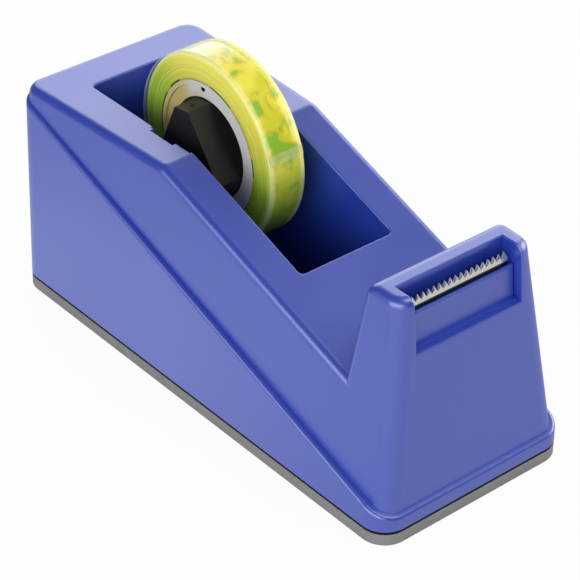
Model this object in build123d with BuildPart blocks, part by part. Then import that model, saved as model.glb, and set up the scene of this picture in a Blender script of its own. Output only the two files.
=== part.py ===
# Weighted desk tape dispenser. Millimetres, +X towards the cutter, +Z up.
# The origin is at the middle of the underside of the foam pad.
import os
from math import asin, atan2, cos, degrees, radians, sin, sqrt, tan

from build123d import *

# Footprint, foam and base plate
base_length = 140.0
base_width = 58.2
base_corner_radius = 6.5
foam_thickness = 3.2
plate_edge_thickness = 0.75
plate_edge_inset = 0.1
plate_register_thickness = 1.2
plate_clearance = 0.2

# Plinth of the shell, cut off by a sloping ledge
wall = 2.2
plinth_side_draft = 1.2
plinth_end_draft = 0.2
ledge_rear_drop = 2.3
ledge_front_height = 7.4
ledge_edge_radius = 1.0

# Upper body of the shell, standing on the ledge
upper_foot_width = 53.8
upper_side_draft = 8.4
upper_rear_inset = 0.7
upper_sink = 2.0
flat_top_height = 58.3
flat_top_length = 53.2
crest_radius = 4.0
valley_radius = 1.6
rear_corner_radius = 5.0
top_edge_radius = 2.4

# Cutter tower at the front of the upper body
tower_height = 60.2
tower_foot_inset = 1.2
tower_front_lean = 6.0
tower_rear_lean = 5.1
tower_top_depth = 11.4
tower_crest_radius = 2.8
tower_corner_radius = 4.6

# Roll well in the upper body
well_rear_margin = 13.0
well_length = 80.2
well_width = 28.0
well_foot_height = 16.0
well_wall = 2.0
well_corner_radius = 1.2
well_rim_radius = 0.5

# Axle and the slots that carry it in the well's side walls
axle_setback = 10.4
axle_depth = 8.3
axle_diameter = 4.6
axle_end_chamfer = 0.5
axle_end_clearance = 0.3
slot_clearance = 0.3
slot_mouth_width = 8.8
slot_depth = 1.9
slot_pad_thickness = 4.0
slot_pad_margin = 1.8
slot_pad_below = 6.0
lead_in_depth = 0.9
lead_in_height = 3.0
lead_in_behind = 5.4
lead_in_ahead = 9.8

# Three-cornered hub that turns on the axle
hub_length = 17.0
hub_corner_width = 5.1
hub_turn = 7.0
hub_edge_radius = 0.5
hub_flange_radius = 15.4
hub_flange_thickness = 1.2
hub_running_clearance = 0.05
hub_pip_radius = 0.5
hub_pip_height = 0.25
hub_pip_offset = 3.4

# Tape roll: plastic core and wound tape
core_bore_radius = 13.2
core_bore_clearance = 0.15
core_radius = 17.6
core_lip = 1.1
core_face_recess = 0.7
core_peg_hole_radius = 0.7
core_peg_hole_reach = 15.6
core_peg_hole_angle = 98.0
tape_width = 10.4
tape_side_clearance = 0.1
roll_radius = 24.8
winding_clearance = 0.02
tape_end_angle = 17.0
tape_end_length = 2.6
tape_end_thickness = 0.25

# Recess in the tower, blade holder and blade
recess_width = 32.0
recess_depth = 6.2
recess_height = 14.0
recess_floor_thickness = 2.2
recess_edge_radius = 0.4
holder_clearance = 0.2
holder_edge_radius = 0.5
holder_face_inset = 2.45
holder_height = 8.6
holder_lip = 0.8
holder_toe = 1.1
holder_toe_height = 0.5
holder_backing = 1.6
holder_foot_height = 4.2
peg_radius = 1.3
peg_length = 3.2
peg_spacing = 20.0
peg_clearance = 0.03
blade_width = 29.4
blade_height = 10.0
blade_thickness = 0.5
blade_fit = 0.03
blade_seat = 1.9
tooth_count = 18
tooth_height = 1.5

# Ballast and the screws of the base plate
ballast_clearance = 0.8
ballast_front_width = 40.0
ballast_front_roof_gap = 6.0
ballast_rear_width = 42.0
boss_radius = 3.2
screw_rear_margin = 6.6
screw_front_margin = 9.4
screw_rear_spacing = 40.0
screw_front_spacing = 37.0
screw_shank_radius = 1.3
screw_length = 12.0
screw_head_radius = 2.5
screw_slot_width = 0.6
screw_slot_depth = 0.5
screw_clearance = 0.2
thread_clearance = 0.02

# Heights and places that follow from the sizes above
edge_tolerance = 0.01
half_length = base_length / 2
half_width = base_width / 2
shell_bottom = foam_thickness + plate_edge_thickness
plate_top = shell_bottom + plate_register_thickness
ledge_rear_height = flat_top_height - ledge_rear_drop
ledge_slope = (ledge_rear_height - ledge_front_height) / base_length
ledge_angle = atan2(ledge_rear_height - ledge_front_height, base_length)
front_lean = tan(radians(tower_front_lean))
rear_lean = tan(radians(tower_rear_lean))
upper_rear = -half_length + upper_rear_inset
crest = upper_rear + flat_top_length
well_rear = -half_length + well_rear_margin
well_front = well_rear + well_length
well_middle = (well_rear + well_front) / 2
axle_x = crest - axle_setback
axle_z = flat_top_height - axle_depth
axle_radius = axle_diameter / 2
slot_half_width = axle_radius + slot_clearance
hub_far_end = hub_length / 2
tape_far_side = hub_far_end - tape_side_clearance
recess_floor = tower_height - recess_height
screw_rear_x = -half_length + screw_rear_margin
screw_front_x = half_length - screw_front_margin
screw_points = [
    (x, side * spacing / 2)
    for x, spacing in ((screw_rear_x, screw_rear_spacing), (screw_front_x, screw_front_spacing))
    for side in (-1, 1)
]


def ledge_z(x):
    return ledge_front_height + (half_length - x) * ledge_slope


def slope_z(x):
    return flat_top_height - (x - crest) * ledge_slope


def tower_front_x(z):
    return half_length - tower_foot_inset - (z - ledge_front_height) * front_lean


tower_top_front = tower_front_x(tower_height)
tower_top_rear = tower_top_front - tower_top_depth
recess_rear = tower_top_front - recess_depth


# The slope and the tower's rear face meet in the valley
valley_x = (tower_top_rear - (tower_height - slope_z(0)) * rear_lean) / (1 + ledge_slope * rear_lean)
valley_z = slope_z(valley_x)

# The holder's face and the blade lean with the tower's front
holder_top = recess_floor + holder_height
toe_top = recess_floor + holder_toe_height
blade_bottom = recess_floor + blade_seat
peg_x = (recess_rear + tower_front_x(recess_floor) - holder_face_inset) / 2


def holder_face_x(z):
    return tower_front_x(z) - holder_face_inset


def groove_front_x(z):
    return holder_face_x(z) - holder_lip


def groove_rear_x(z):
    return groove_front_x(z) - blade_thickness - 2 * blade_fit


blade_foot = blade_bottom + blade_fit + blade_thickness * sin(radians(tower_front_lean))
blade_plane = Plane(
    origin=(groove_front_x(blade_foot) - blade_fit, 0, blade_foot),
    x_dir=(0, 1, 0),
    z_dir=(cos(radians(tower_front_lean)), 0, sin(radians(tower_front_lean))),
)
ledge_plane = Plane(
    origin=(0, 0, ledge_z(0)), x_dir=(0, 1, 0), z_dir=(sin(ledge_angle), 0, cos(ledge_angle))
)
along_ledge = Plane(
    origin=(0, 0, ledge_z(0)), x_dir=(0, 1, 0), z_dir=(cos(ledge_angle), 0, -sin(ledge_angle))
)

os.makedirs("parts", exist_ok=True)


def roll_plane(y):
    # Plane across the roll's axis, facing -Y, with its origin on the axis
    return Plane(origin=(axle_x, y, axle_z), x_dir=(1, 0, 0), z_dir=(0, -1, 0))


def well_rim(edges):
    # Edges round the open top of the well
    return [
        edge
        for edge in edges
        if well_rear - edge_tolerance < edge.center().X < well_front + edge_tolerance
        and abs(edge.center().Y) < well_width / 2 + edge_tolerance
        and edge.center().Z > well_foot_height + edge_tolerance
        and abs(edge.tangent_at(0.5).Z) < cos(ledge_angle)
    ]


def recess_rim(edges):
    # Edges where the cutter recess meets the tower's top and front
    return [
        edge
        for edge in edges
        if abs(edge.center().Y) < recess_width / 2 + edge_tolerance
        and (
            edge.center().X > recess_rear + edge_tolerance
            and edge.center().Z > recess_floor + edge_tolerance
            or abs(edge.center().X - recess_rear) < edge_tolerance
            and abs(edge.center().Z - tower_height) < edge_tolerance
            or abs(edge.center().X - tower_front_x(recess_floor)) < edge_tolerance
            and abs(edge.center().Z - recess_floor) < edge_tolerance
        )
    ]


def plinth_block(inset):
    # Drafted plinth under the sloping ledge, made smaller all round by inset
    loft_top = ledge_rear_height + wall
    rise = loft_top - shell_bottom
    end_taper = rise * tan(radians(plinth_end_draft))
    side_taper = rise * tan(radians(plinth_side_draft))
    with BuildPart() as block:
        with BuildSketch(Plane.XY.offset(shell_bottom)):
            RectangleRounded(base_length - 2 * inset, base_width - 2 * inset, base_corner_radius - inset)
        with BuildSketch(Plane.XY.offset(loft_top)):
            RectangleRounded(
                base_length - 2 * (inset + end_taper),
                base_width - 2 * (inset + side_taper),
                base_corner_radius - inset,
            )
        loft(ruled=True)
        split(bisect_by=ledge_plane.offset(-inset), keep=Keep.BOTTOM)
    return block.part


def upper_block(inset, sink):
    # Upper body from a side profile and leaning sides, made smaller all round by inset
    outline = [
        (upper_rear, ledge_z(upper_rear) - sink),
        (upper_rear, flat_top_height),
        (crest, flat_top_height),
        (valley_x, valley_z),
        (tower_top_rear, tower_height),
        (tower_top_front, tower_height),
        (tower_front_x(ledge_front_height - sink), ledge_front_height - sink),
    ]
    side_height = tower_height
    side_taper = tan(radians(upper_side_draft))
    half_foot = upper_foot_width / 2
    with BuildPart() as block:
        with BuildSketch(Plane.XZ) as profile:
            Polygon(*outline, align=None)
            offset(amount=-inset, kind=Kind.INTERSECTION)
            crest_vertex = profile.vertices().sort_by_distance((crest, 0, flat_top_height))[0]
            valley_vertex = profile.vertices().sort_by_distance((valley_x, 0, valley_z))[0]
            fillet(crest_vertex, crest_radius)
            fillet(valley_vertex, valley_radius)
        extrude(amount=half_width, both=True)
        with BuildSketch(along_ledge):
            Polygon(
                (-half_foot - sink * side_taper, -sink),
                (half_foot + sink * side_taper, -sink),
                (half_foot - side_height * side_taper, side_height),
                (-half_foot + side_height * side_taper, side_height),
                align=None,
            )
            offset(amount=-inset, kind=Kind.INTERSECTION)
        extrude(amount=base_length, both=True, mode=Mode.INTERSECT)
    return block.part


# Outer form of the shell: plinth and upper body, each with its rounded edges
with BuildPart() as plinth:
    add(plinth_block(0))
    ledge_face = plinth.faces().sort_by(Axis((0, 0, 0), ledge_plane.z_dir))[-1]
    fillet(ledge_face.edges(), ledge_edge_radius)

with BuildPart() as upper:
    add(upper_block(0, upper_sink))
    side_faces = upper.faces().sort_by(Axis.Y)
    side_edges = side_faces[0].edges() + side_faces[-1].edges()
    fillet(side_edges.group_by(Axis.X)[-1], tower_corner_radius)
    side_faces = upper.faces().sort_by(Axis.Y)
    side_edges = side_faces[0].edges() + side_faces[-1].edges()
    fillet(side_edges.group_by(Axis.X)[0], rear_corner_radius)
    fillet(upper.edges().sort_by_distance((tower_top_rear, 0, tower_height))[0], tower_crest_radius)
    top_faces = upper.faces().filter_by(
        lambda face: face.normal_at().Z > 0.05
        and face.normal_at().X < 0.5
        and abs(face.normal_at().Y) < 0.01
    )
    top_edges = [edge for face in top_faces for edge in face.edges()]
    rim_edges = [edge for edge in top_edges if sum(edge.is_same(other) for other in top_edges) == 1]
    fillet(rim_edges, top_edge_radius)

# Hollow inside the shell: what is left stands as walls, well, slot pads, screw bosses and tower head
with BuildPart() as hollow:
    add(plinth_block(wall))
    add(upper_block(wall, 2 * wall + upper_sink))
    with BuildSketch(Plane.XY.offset(well_foot_height)):
        with Locations((well_middle, 0)):
            RectangleRounded(
                well_length + 2 * well_wall, well_width + 2 * well_wall, well_corner_radius + well_wall
            )
    extrude(amount=tower_height, mode=Mode.SUBTRACT)
    with BuildSketch(Plane.XY.offset(axle_z - axle_radius - slot_pad_below)):
        with Locations((axle_x, 0)):
            Rectangle(slot_mouth_width + 2 * slot_pad_margin, well_width + 2 * slot_pad_thickness)
    extrude(amount=tower_height, mode=Mode.SUBTRACT)
    with BuildSketch(Plane.XY.offset(plate_top)):
        with Locations(*screw_points):
            Circle(boss_radius)
    extrude(amount=tower_height, mode=Mode.SUBTRACT)
    with BuildSketch(Plane.XY.offset(recess_floor - recess_floor_thickness)):
        with Locations((valley_x, 0)):
            Rectangle(base_length, base_width, align=(Align.MIN, Align.CENTER))
    extrude(amount=recess_height + recess_floor_thickness, mode=Mode.SUBTRACT)

with BuildPart() as shell:
    add(plinth.part)
    add(upper.part)
    add(hollow.part, mode=Mode.SUBTRACT)
    # Roll well, open at the foot of its walls
    with BuildSketch(Plane.XY.offset(well_foot_height)):
        with Locations((well_middle, 0)):
            RectangleRounded(well_length, well_width, well_corner_radius)
    extrude(amount=tower_height, mode=Mode.SUBTRACT)
    fillet(well_rim(shell.edges()), well_rim_radius)
    # Axle slots, widening towards the top, with a slanted lead-in along the upper edge of each wall
    with BuildSketch(roll_plane(0)):
        Circle(slot_half_width)
        Polygon(
            (-slot_half_width, 0),
            (slot_half_width, 0),
            (slot_mouth_width / 2, axle_depth),
            (-slot_mouth_width / 2, axle_depth),
            align=None,
        )
    extrude(amount=well_width / 2 + slot_depth, both=True, mode=Mode.SUBTRACT)
    with BuildSketch(Plane.YZ.offset(axle_x - lead_in_behind)):
        inner_edge = well_width / 2
        Polygon(
            (inner_edge + lead_in_depth, flat_top_height),
            (inner_edge, flat_top_height - lead_in_height),
            (-inner_edge, flat_top_height - lead_in_height),
            (-inner_edge - lead_in_depth, flat_top_height),
            align=None,
        )
    extrude(amount=lead_in_behind + lead_in_ahead, mode=Mode.SUBTRACT)
    # Cutter recess through the tower's top and front
    with BuildSketch(Plane.XY.offset(recess_floor)):
        with Locations((recess_rear, 0)):
            Rectangle(base_length, recess_width, align=(Align.MIN, Align.CENTER))
    extrude(amount=tower_height, mode=Mode.SUBTRACT)
    fillet(recess_rim(shell.edges()), recess_edge_radius)
    with BuildSketch(Plane.XY.offset(recess_floor - recess_floor_thickness)):
        with Locations((peg_x, 0)):
            with GridLocations(0, peg_spacing, 1, 2):
                Circle(peg_radius + peg_clearance)
    extrude(amount=recess_floor_thickness, mode=Mode.SUBTRACT)
    # Screw holes in the bosses
    with BuildSketch(Plane.XY.offset(shell_bottom)):
        with Locations(*screw_points):
            Circle(screw_shank_radius + thread_clearance)
    extrude(amount=screw_length, mode=Mode.SUBTRACT)
shell.part.label = "shell"
export_step(shell.part, "parts/shell.step")

# Base plate: a thin visible edge under the shell's rim and a register inside it
with BuildPart() as base_plate:
    with BuildSketch(Plane.XY.offset(foam_thickness)):
        RectangleRounded(
            base_length - 2 * plate_edge_inset,
            base_width - 2 * plate_edge_inset,
            base_corner_radius - plate_edge_inset,
        )
    extrude(amount=plate_edge_thickness)
    register_inset = wall + plate_clearance
    with BuildSketch(Plane.XY.offset(shell_bottom)):
        RectangleRounded(
            base_length - 2 * register_inset,
            base_width - 2 * register_inset,
            base_corner_radius - register_inset,
        )
    extrude(amount=plate_register_thickness)
    with Locations(Plane(origin=(0, 0, foam_thickness), x_dir=(1, 0, 0), z_dir=(0, 0, -1))):
        with Locations(*screw_points):
            CounterSinkHole(
                radius=screw_shank_radius + screw_clearance,
                counter_sink_radius=screw_head_radius + screw_clearance,
                counter_sink_angle=90,
            )
base_plate.part.label = "base_plate"
export_step(base_plate.part, "parts/base_plate.step")

with BuildPart() as foam_pad:
    with BuildSketch():
        RectangleRounded(base_length, base_width, base_corner_radius)
    extrude(amount=foam_thickness)
foam_pad.part.label = "foam_pad"
export_step(foam_pad.part, "parts/foam_pad.step")

# Four countersunk screws, heads flush with the underside of the plate
with BuildPart() as base_screws:
    for x, y in screw_points:
        with Locations((x, y, foam_thickness)):
            Cone(
                screw_head_radius,
                screw_shank_radius,
                screw_head_radius - screw_shank_radius,
                align=(Align.CENTER, Align.CENTER, Align.MIN),
            )
            Cylinder(screw_shank_radius, screw_length, align=(Align.CENTER, Align.CENTER, Align.MIN))
            Box(
                2 * screw_head_radius,
                screw_slot_width,
                screw_slot_depth,
                align=(Align.CENTER, Align.CENTER, Align.MIN),
                mode=Mode.SUBTRACT,
            )
base_screws.part.label = "base_screws"
export_step(base_screws.part, "parts/base_screws.step")

# Ballast castings, standing on the base plate; the rear one closes the well from below
with BuildPart() as ballast_front:
    block_rear = well_front + well_wall + ballast_clearance
    block_front = screw_front_x - boss_radius - ballast_clearance
    block_top = valley_z - ballast_front_roof_gap
    with BuildSketch(Plane.XZ):
        Polygon(
            (block_rear, plate_top),
            (block_front, plate_top),
            (block_front, block_top),
            (valley_x, block_top),
            (block_rear, slope_z(block_rear) - ballast_front_roof_gap),
            align=None,
        )
    extrude(amount=ballast_front_width / 2, both=True)
ballast_front.part.label = "ballast_front"
export_step(ballast_front.part, "parts/ballast_front.step")

with BuildPart() as ballast_rear:
    slab_top = well_foot_height - ballast_clearance
    with BuildSketch(Plane.XY.offset(plate_top)):
        with Locations((well_middle, 0)):
            Rectangle(well_length, ballast_rear_width)
    extrude(amount=slab_top - plate_top)
ballast_rear.part.label = "ballast_rear"
export_step(ballast_rear.part, "parts/ballast_rear.step")

# Axle pin across the well, its ends in the two slots
with BuildPart() as axle:
    axle_reach = well_width / 2 + slot_depth - axle_end_clearance
    with BuildSketch(roll_plane(0)):
        Circle(axle_radius)
    extrude(amount=axle_reach, both=True)
    chamfer(axle.edges().filter_by(GeomType.CIRCLE), axle_end_chamfer)
axle.part.label = "axle"
export_step(axle.part, "parts/axle.step")

# Hub: a triangle with its corners cut off, and a stop flange at the far end
with BuildPart() as hub:
    corner_reach = core_bore_radius - core_bore_clearance
    corner_half_angle = degrees(asin(hub_corner_width / 2 / corner_reach))
    corner_angles = [
        90 + hub_turn + third * 120 + side * corner_half_angle for third in range(3) for side in (-1, 1)
    ]
    corner_points = [
        (corner_reach * cos(radians(angle)), corner_reach * sin(radians(angle))) for angle in corner_angles
    ]
    with BuildSketch(roll_plane(hub_far_end)) as hub_section:
        Polygon(*corner_points, align=None)
        fillet(hub_section.vertices(), hub_edge_radius)
    extrude(amount=hub_length)
    with BuildSketch(roll_plane(hub_far_end)):
        Circle(hub_flange_radius)
    extrude(amount=-hub_flange_thickness)
    flat_reach = sqrt(corner_reach**2 - (hub_corner_width / 2) ** 2)
    pip_y = -hub_length / 2 + hub_pip_offset
    for third in range(3):
        flat_angle = radians(90 + hub_turn + third * 120)
        outward = (cos(flat_angle), 0, sin(flat_angle))
        foot = (axle_x + flat_reach * outward[0], pip_y, axle_z + flat_reach * outward[2])
        with BuildSketch(Plane(origin=foot, x_dir=(0, 1, 0), z_dir=outward)):
            Circle(hub_pip_radius)
        extrude(amount=hub_pip_height)
    with BuildSketch(roll_plane(0)):
        Circle(axle_radius + hub_running_clearance)
    extrude(amount=hub_length, both=True, mode=Mode.SUBTRACT)
hub.part.label = "hub"
export_step(hub.part, "parts/hub.step")

# Tape core: a ring whose faces are dished inside a raised outer lip
with BuildPart() as tape_core:
    with BuildSketch(roll_plane(tape_far_side)):
        Circle(core_radius)
        Circle(core_bore_radius, mode=Mode.SUBTRACT)
    extrude(amount=tape_width)
    for face_y, inward in ((tape_far_side, 1), (tape_far_side - tape_width, -1)):
        with BuildSketch(roll_plane(face_y)):
            Circle(core_radius - core_lip)
            Circle(core_bore_radius, mode=Mode.SUBTRACT)
        extrude(amount=inward * core_face_recess, mode=Mode.SUBTRACT)
    with BuildSketch(roll_plane(tape_far_side)):
        with PolarLocations(core_peg_hole_reach, 1, start_angle=core_peg_hole_angle):
            Circle(core_peg_hole_radius)
    extrude(amount=tape_width, mode=Mode.SUBTRACT)
tape_core.part.label = "tape_core"
export_step(tape_core.part, "parts/tape_core.step")

# Wound tape: bonded layers, so one ring, with the folded end of the last layer standing out of it
with BuildPart() as tape_winding:
    with BuildSketch(roll_plane(tape_far_side)):
        Circle(roll_radius)
        with Locations(Rotation(0, 0, tape_end_angle)):
            with Locations((roll_radius + tape_end_thickness, 0)):
                Rectangle(2 * tape_end_thickness, tape_end_length, align=(Align.MAX, Align.CENTER))
        Circle(core_radius + winding_clearance, mode=Mode.SUBTRACT)
    extrude(amount=tape_width)
tape_winding.part.label = "tape_winding"
export_step(tape_winding.part, "parts/tape_winding.step")

# Blade holder: front lip with a low toe, blade groove, backing and foot, pegged to the recess floor
with BuildPart() as blade_holder:
    with BuildSketch(Plane.XZ):
        Polygon(
            (recess_rear + holder_clearance, recess_floor),
            (holder_face_x(recess_floor) + holder_toe, recess_floor),
            (holder_face_x(toe_top) + holder_toe, toe_top),
            (holder_face_x(toe_top), toe_top),
            (holder_face_x(holder_top), holder_top),
            (groove_front_x(holder_top), holder_top),
            (groove_front_x(blade_bottom), blade_bottom),
            (groove_rear_x(blade_bottom), blade_bottom),
            (groove_rear_x(holder_top), holder_top),
            (groove_rear_x(holder_top) - holder_backing, holder_top),
            (groove_rear_x(holder_top) - holder_backing, recess_floor + holder_foot_height),
            (recess_rear + holder_clearance, recess_floor + holder_foot_height),
            align=None,
        )
    extrude(amount=recess_width / 2 - holder_clearance, both=True)
    face_middle = (toe_top + holder_top) / 2
    front_face = blade_holder.faces().sort_by_distance((holder_face_x(face_middle), 0, face_middle))[0]
    face_edges = [edge for edge in front_face.edges() if edge.center().Z > toe_top + edge_tolerance]
    fillet(face_edges, holder_edge_radius)
    with BuildSketch(Plane.XY.offset(recess_floor)):
        with Locations((peg_x, 0)):
            with GridLocations(0, peg_spacing, 1, 2):
                Circle(peg_radius)
    extrude(amount=-peg_length)
blade_holder.part.label = "blade_holder"
export_step(blade_holder.part, "parts/blade_holder.step")

# Serrated blade, leaning with the tower's front
with BuildPart() as cutter_blade:
    tooth_pitch = blade_width / tooth_count
    root_height = blade_height - tooth_height
    teeth = [
        point
        for tooth in range(tooth_count)
        for point in (
            (blade_width / 2 - (tooth + 0.5) * tooth_pitch, blade_height),
            (blade_width / 2 - (tooth + 1) * tooth_pitch, root_height),
        )
    ]
    with BuildSketch(blade_plane):
        Polygon(
            (-blade_width / 2, 0),
            (blade_width / 2, 0),
            (blade_width / 2, root_height),
            *teeth,
            align=None,
        )
    extrude(amount=-blade_thickness)
cutter_blade.part.label = "cutter_blade"
export_step(cutter_blade.part, "parts/cutter_blade.step")
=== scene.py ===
# Desk tape dispenser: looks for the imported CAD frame, Blender 4.5, metres
import math
import random
import bpy
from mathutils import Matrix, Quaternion, Vector


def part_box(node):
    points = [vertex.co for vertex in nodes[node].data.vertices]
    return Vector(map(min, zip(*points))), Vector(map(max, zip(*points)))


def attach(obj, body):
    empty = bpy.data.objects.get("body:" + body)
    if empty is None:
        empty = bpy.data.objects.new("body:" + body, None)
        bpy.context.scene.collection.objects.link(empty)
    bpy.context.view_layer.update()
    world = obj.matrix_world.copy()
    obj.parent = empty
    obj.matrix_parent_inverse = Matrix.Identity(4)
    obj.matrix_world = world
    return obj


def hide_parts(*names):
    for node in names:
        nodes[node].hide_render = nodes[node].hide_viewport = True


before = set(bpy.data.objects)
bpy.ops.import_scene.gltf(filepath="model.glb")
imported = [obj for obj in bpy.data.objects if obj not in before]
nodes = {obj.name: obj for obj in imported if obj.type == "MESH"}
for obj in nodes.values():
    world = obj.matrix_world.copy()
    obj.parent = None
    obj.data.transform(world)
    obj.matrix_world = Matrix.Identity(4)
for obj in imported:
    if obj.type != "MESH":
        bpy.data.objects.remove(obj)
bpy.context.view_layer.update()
mm = 0.001           # the pieces' dictionaries hold millimetres and degrees
slack = 0.01 * mm    # places this close count as the same
weld = 0.002 * mm    # points this close are merged
print("frame loaded:", ", ".join(sorted(nodes)))


def toLinear(hexCode):
    # sRGB hex to the linear colour that shader sockets take
    parts = [int(hexCode[i:i + 2], 16) / 255 for i in (1, 3, 5)]
    return [c / 12.92 if c <= 0.04045 else ((c + 0.055) / 1.055) ** 2.4 for c in parts] + [1.0]


def addNode(tree, kind, settings=None, links=None):
    # one shader node: settings go to its sockets or its own options, links join sockets to it
    node = tree.nodes.new(kind)
    for key, value in (settings or {}).items():
        if isinstance(key, int) or key in node.inputs:
            node.inputs[key].default_value = value
        else:
            setattr(node, key, value)
    for key, source in (links or {}).items():
        tree.links.new(source, node.inputs[key])
    return node


def newMaterial(name):
    # an empty node material, with object coordinates to hang patterns on
    material = bpy.data.materials.new(name)
    material.use_nodes = True
    tree = material.node_tree
    tree.nodes.clear()
    coords = addNode(tree, "ShaderNodeTexCoord")
    return material, tree, coords.outputs["Object"]


def dress(material, shader, *pieces):
    # joins the shader to the material's output and puts the material on the pieces
    addNode(material.node_tree, "ShaderNodeOutputMaterial", None, {"Surface": shader.outputs[0]})
    for piece in pieces:
        piece.data.materials.clear()
        piece.data.materials.append(material)


# settings that several finishes share
softStep = {"interpolation_type": "SMOOTHSTEP"}
noiseSpan = {**softStep, "From Min": 0.3, "From Max": 0.7}    # most of a noise lies in here
colourMix = {"data_type": "RGBA"}


def perMetre(size):
    # noise scale for features of this size in millimetres
    return 1 / (size * mm)


def grainTint(tree, coords, look):
    # a grain of the look's size, and a colour that wanders with it between the look's two tones
    grain = addNode(tree, "ShaderNodeTexNoise",
                    {"Scale": perMetre(look["grain"]), "Detail": look["detail"]},
                    {"Vector": coords}).outputs[0]
    tint = addNode(tree, "ShaderNodeMix",
                   {**colourMix, 6: toLinear(look["shade"]), 7: toLinear(look["colour"])},
                   {0: grain}).outputs[2]
    return grain, tint


def layOver(tree, hue, colour, value, start, end, most=1.0):
    # lays a colour over the hue as the value goes from start to end, up to this strength
    share = addNode(tree, "ShaderNodeMapRange",
                    {**softStep, "From Min": start, "From Max": end, "To Max": most},
                    {"Value": value}).outputs[0]
    return addNode(tree, "ShaderNodeMix", {**colourMix, 7: toLinear(colour)}, {0: share, 6: hue}).outputs[2]


def deselectAll():
    if bpy.context.object and bpy.context.object.mode != "OBJECT":
        bpy.ops.object.mode_set(mode="OBJECT")
    bpy.ops.object.select_all(action="DESELECT")


def takeUp(piece):
    # makes this the one selected and active object
    deselectAll()
    piece.select_set(True)
    bpy.context.view_layer.objects.active = piece


def pickFaces(piece, test):
    # leaves exactly the faces selected whose centre and normal pass the test, in edit mode
    bpy.ops.object.mode_set(mode="EDIT")
    bpy.ops.mesh.select_mode(type="FACE")
    bpy.ops.mesh.select_all(action="DESELECT")
    bpy.ops.object.mode_set(mode="OBJECT")
    for face in piece.data.polygons:
        face.select = test(face.center, face.normal)
    bpy.ops.object.mode_set(mode="EDIT")


def pickEdges(piece, test):
    # leaves exactly the edges selected whose two ends pass the test, in edit mode
    bpy.ops.object.mode_set(mode="EDIT")
    bpy.ops.mesh.select_mode(type="EDGE")
    bpy.ops.mesh.select_all(action="DESELECT")
    bpy.ops.object.mode_set(mode="OBJECT")
    points = piece.data.vertices
    for edge in piece.data.edges:
        edge.select = test(points[edge.vertices[0]].co, points[edge.vertices[1]].co)
    bpy.ops.object.mode_set(mode="EDIT")


def applyModifier(piece, kind, **settings):
    bpy.context.view_layer.objects.active = piece
    modifier = piece.modifiers.new(kind.title(), kind)
    for key, value in settings.items():
        setattr(modifier, key, value)
    bpy.ops.object.modifier_apply(modifier=modifier.name)


def settle():
    # place, turn and size of the selected piece go into its mesh, so that it sits at the origin
    bpy.ops.object.transform_apply(location=True, rotation=True, scale=True)


def closeSeams():
    bpy.ops.mesh.select_all(action="SELECT")
    bpy.ops.mesh.remove_doubles(threshold=weld)
    bpy.ops.mesh.normals_make_consistent(inside=False)
    bpy.ops.object.mode_set(mode="OBJECT")


def smoothBy(piece, degrees):
    takeUp(piece)
    bpy.ops.object.shade_smooth_by_angle(angle=math.radians(degrees))


def drawLine(name, points):
    # a chain of edges drawn point by point: one corner, then extruded along the points
    deselectAll()
    bpy.ops.mesh.primitive_plane_add(size=1 * mm, location=(0, 0, 0))
    line = bpy.context.object
    line.name = name
    line.data.name = name
    bpy.ops.object.mode_set(mode="EDIT")
    bpy.ops.mesh.select_all(action="SELECT")
    bpy.ops.mesh.merge(type="CENTER")
    bpy.ops.mesh.select_mode(type="VERT")
    bpy.ops.mesh.select_all(action="SELECT")
    bpy.ops.transform.translate(value=points[0])
    for here, there in zip(points, points[1:]):
        step = Vector(there) - Vector(here)
        bpy.ops.mesh.extrude_region_move(TRANSFORM_OT_translate={"value": step})
    bpy.ops.object.mode_set(mode="OBJECT")
    return line


def drawStrip(name, arc, across, thickness):
    # a line of points pulled across to a strip of film and given its thickness
    strip = drawLine(name, arc)
    bpy.ops.object.mode_set(mode="EDIT")
    bpy.ops.mesh.select_all(action="SELECT")
    bpy.ops.mesh.extrude_region_move(TRANSFORM_OT_translate={"value": (0, across, 0)})
    closeSeams()
    applyModifier(strip, "SOLIDIFY", thickness=thickness, offset=0)
    return strip


def spinClosed(centre, axis, steps):
    # turns the drawn section all the way round the axis and closes the seam
    bpy.ops.object.mode_set(mode="EDIT")
    bpy.ops.mesh.select_all(action="SELECT")
    bpy.ops.mesh.spin(steps=steps, angle=2 * math.pi, center=centre, axis=axis)
    closeSeams()


# Camera at the photograph's viewing angle, distances in metres
cameraSet = {"azimuth": 49.715, "elevation": 34.595, "roll": 0.725, "distance": 0.5822, "aim": (0, 0, 0.0245),
             "lens": 148.69, "sensor": 36, "shift": (0.0141, -0.0177), "clipStart": 0.01}
azimuth = math.radians(cameraSet["azimuth"])
elevation = math.radians(cameraSet["elevation"])
back = Vector((math.sin(azimuth) * math.cos(elevation), -math.cos(azimuth) * math.cos(elevation),
               math.sin(elevation)))
camera = bpy.data.objects.new("camera", bpy.data.cameras.new("camera"))
bpy.context.scene.collection.objects.link(camera)
camera.location = Vector(cameraSet["aim"]) + back * cameraSet["distance"]
camera.rotation_mode = "QUATERNION"
roll = Quaternion((0, 0, 1), math.radians(cameraSet["roll"]))
camera.rotation_quaternion = (-back).to_track_quat("-Z", "Y") @ roll
camera.data.lens = cameraSet["lens"]
camera.data.sensor_width = cameraSet["sensor"]
camera.data.shift_x, camera.data.shift_y = cameraSet["shift"]
camera.data.clip_start = cameraSet["clipStart"]
bpy.context.scene.camera = camera
bpy.context.scene.view_settings.view_transform = "Standard"
print("camera set")

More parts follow.
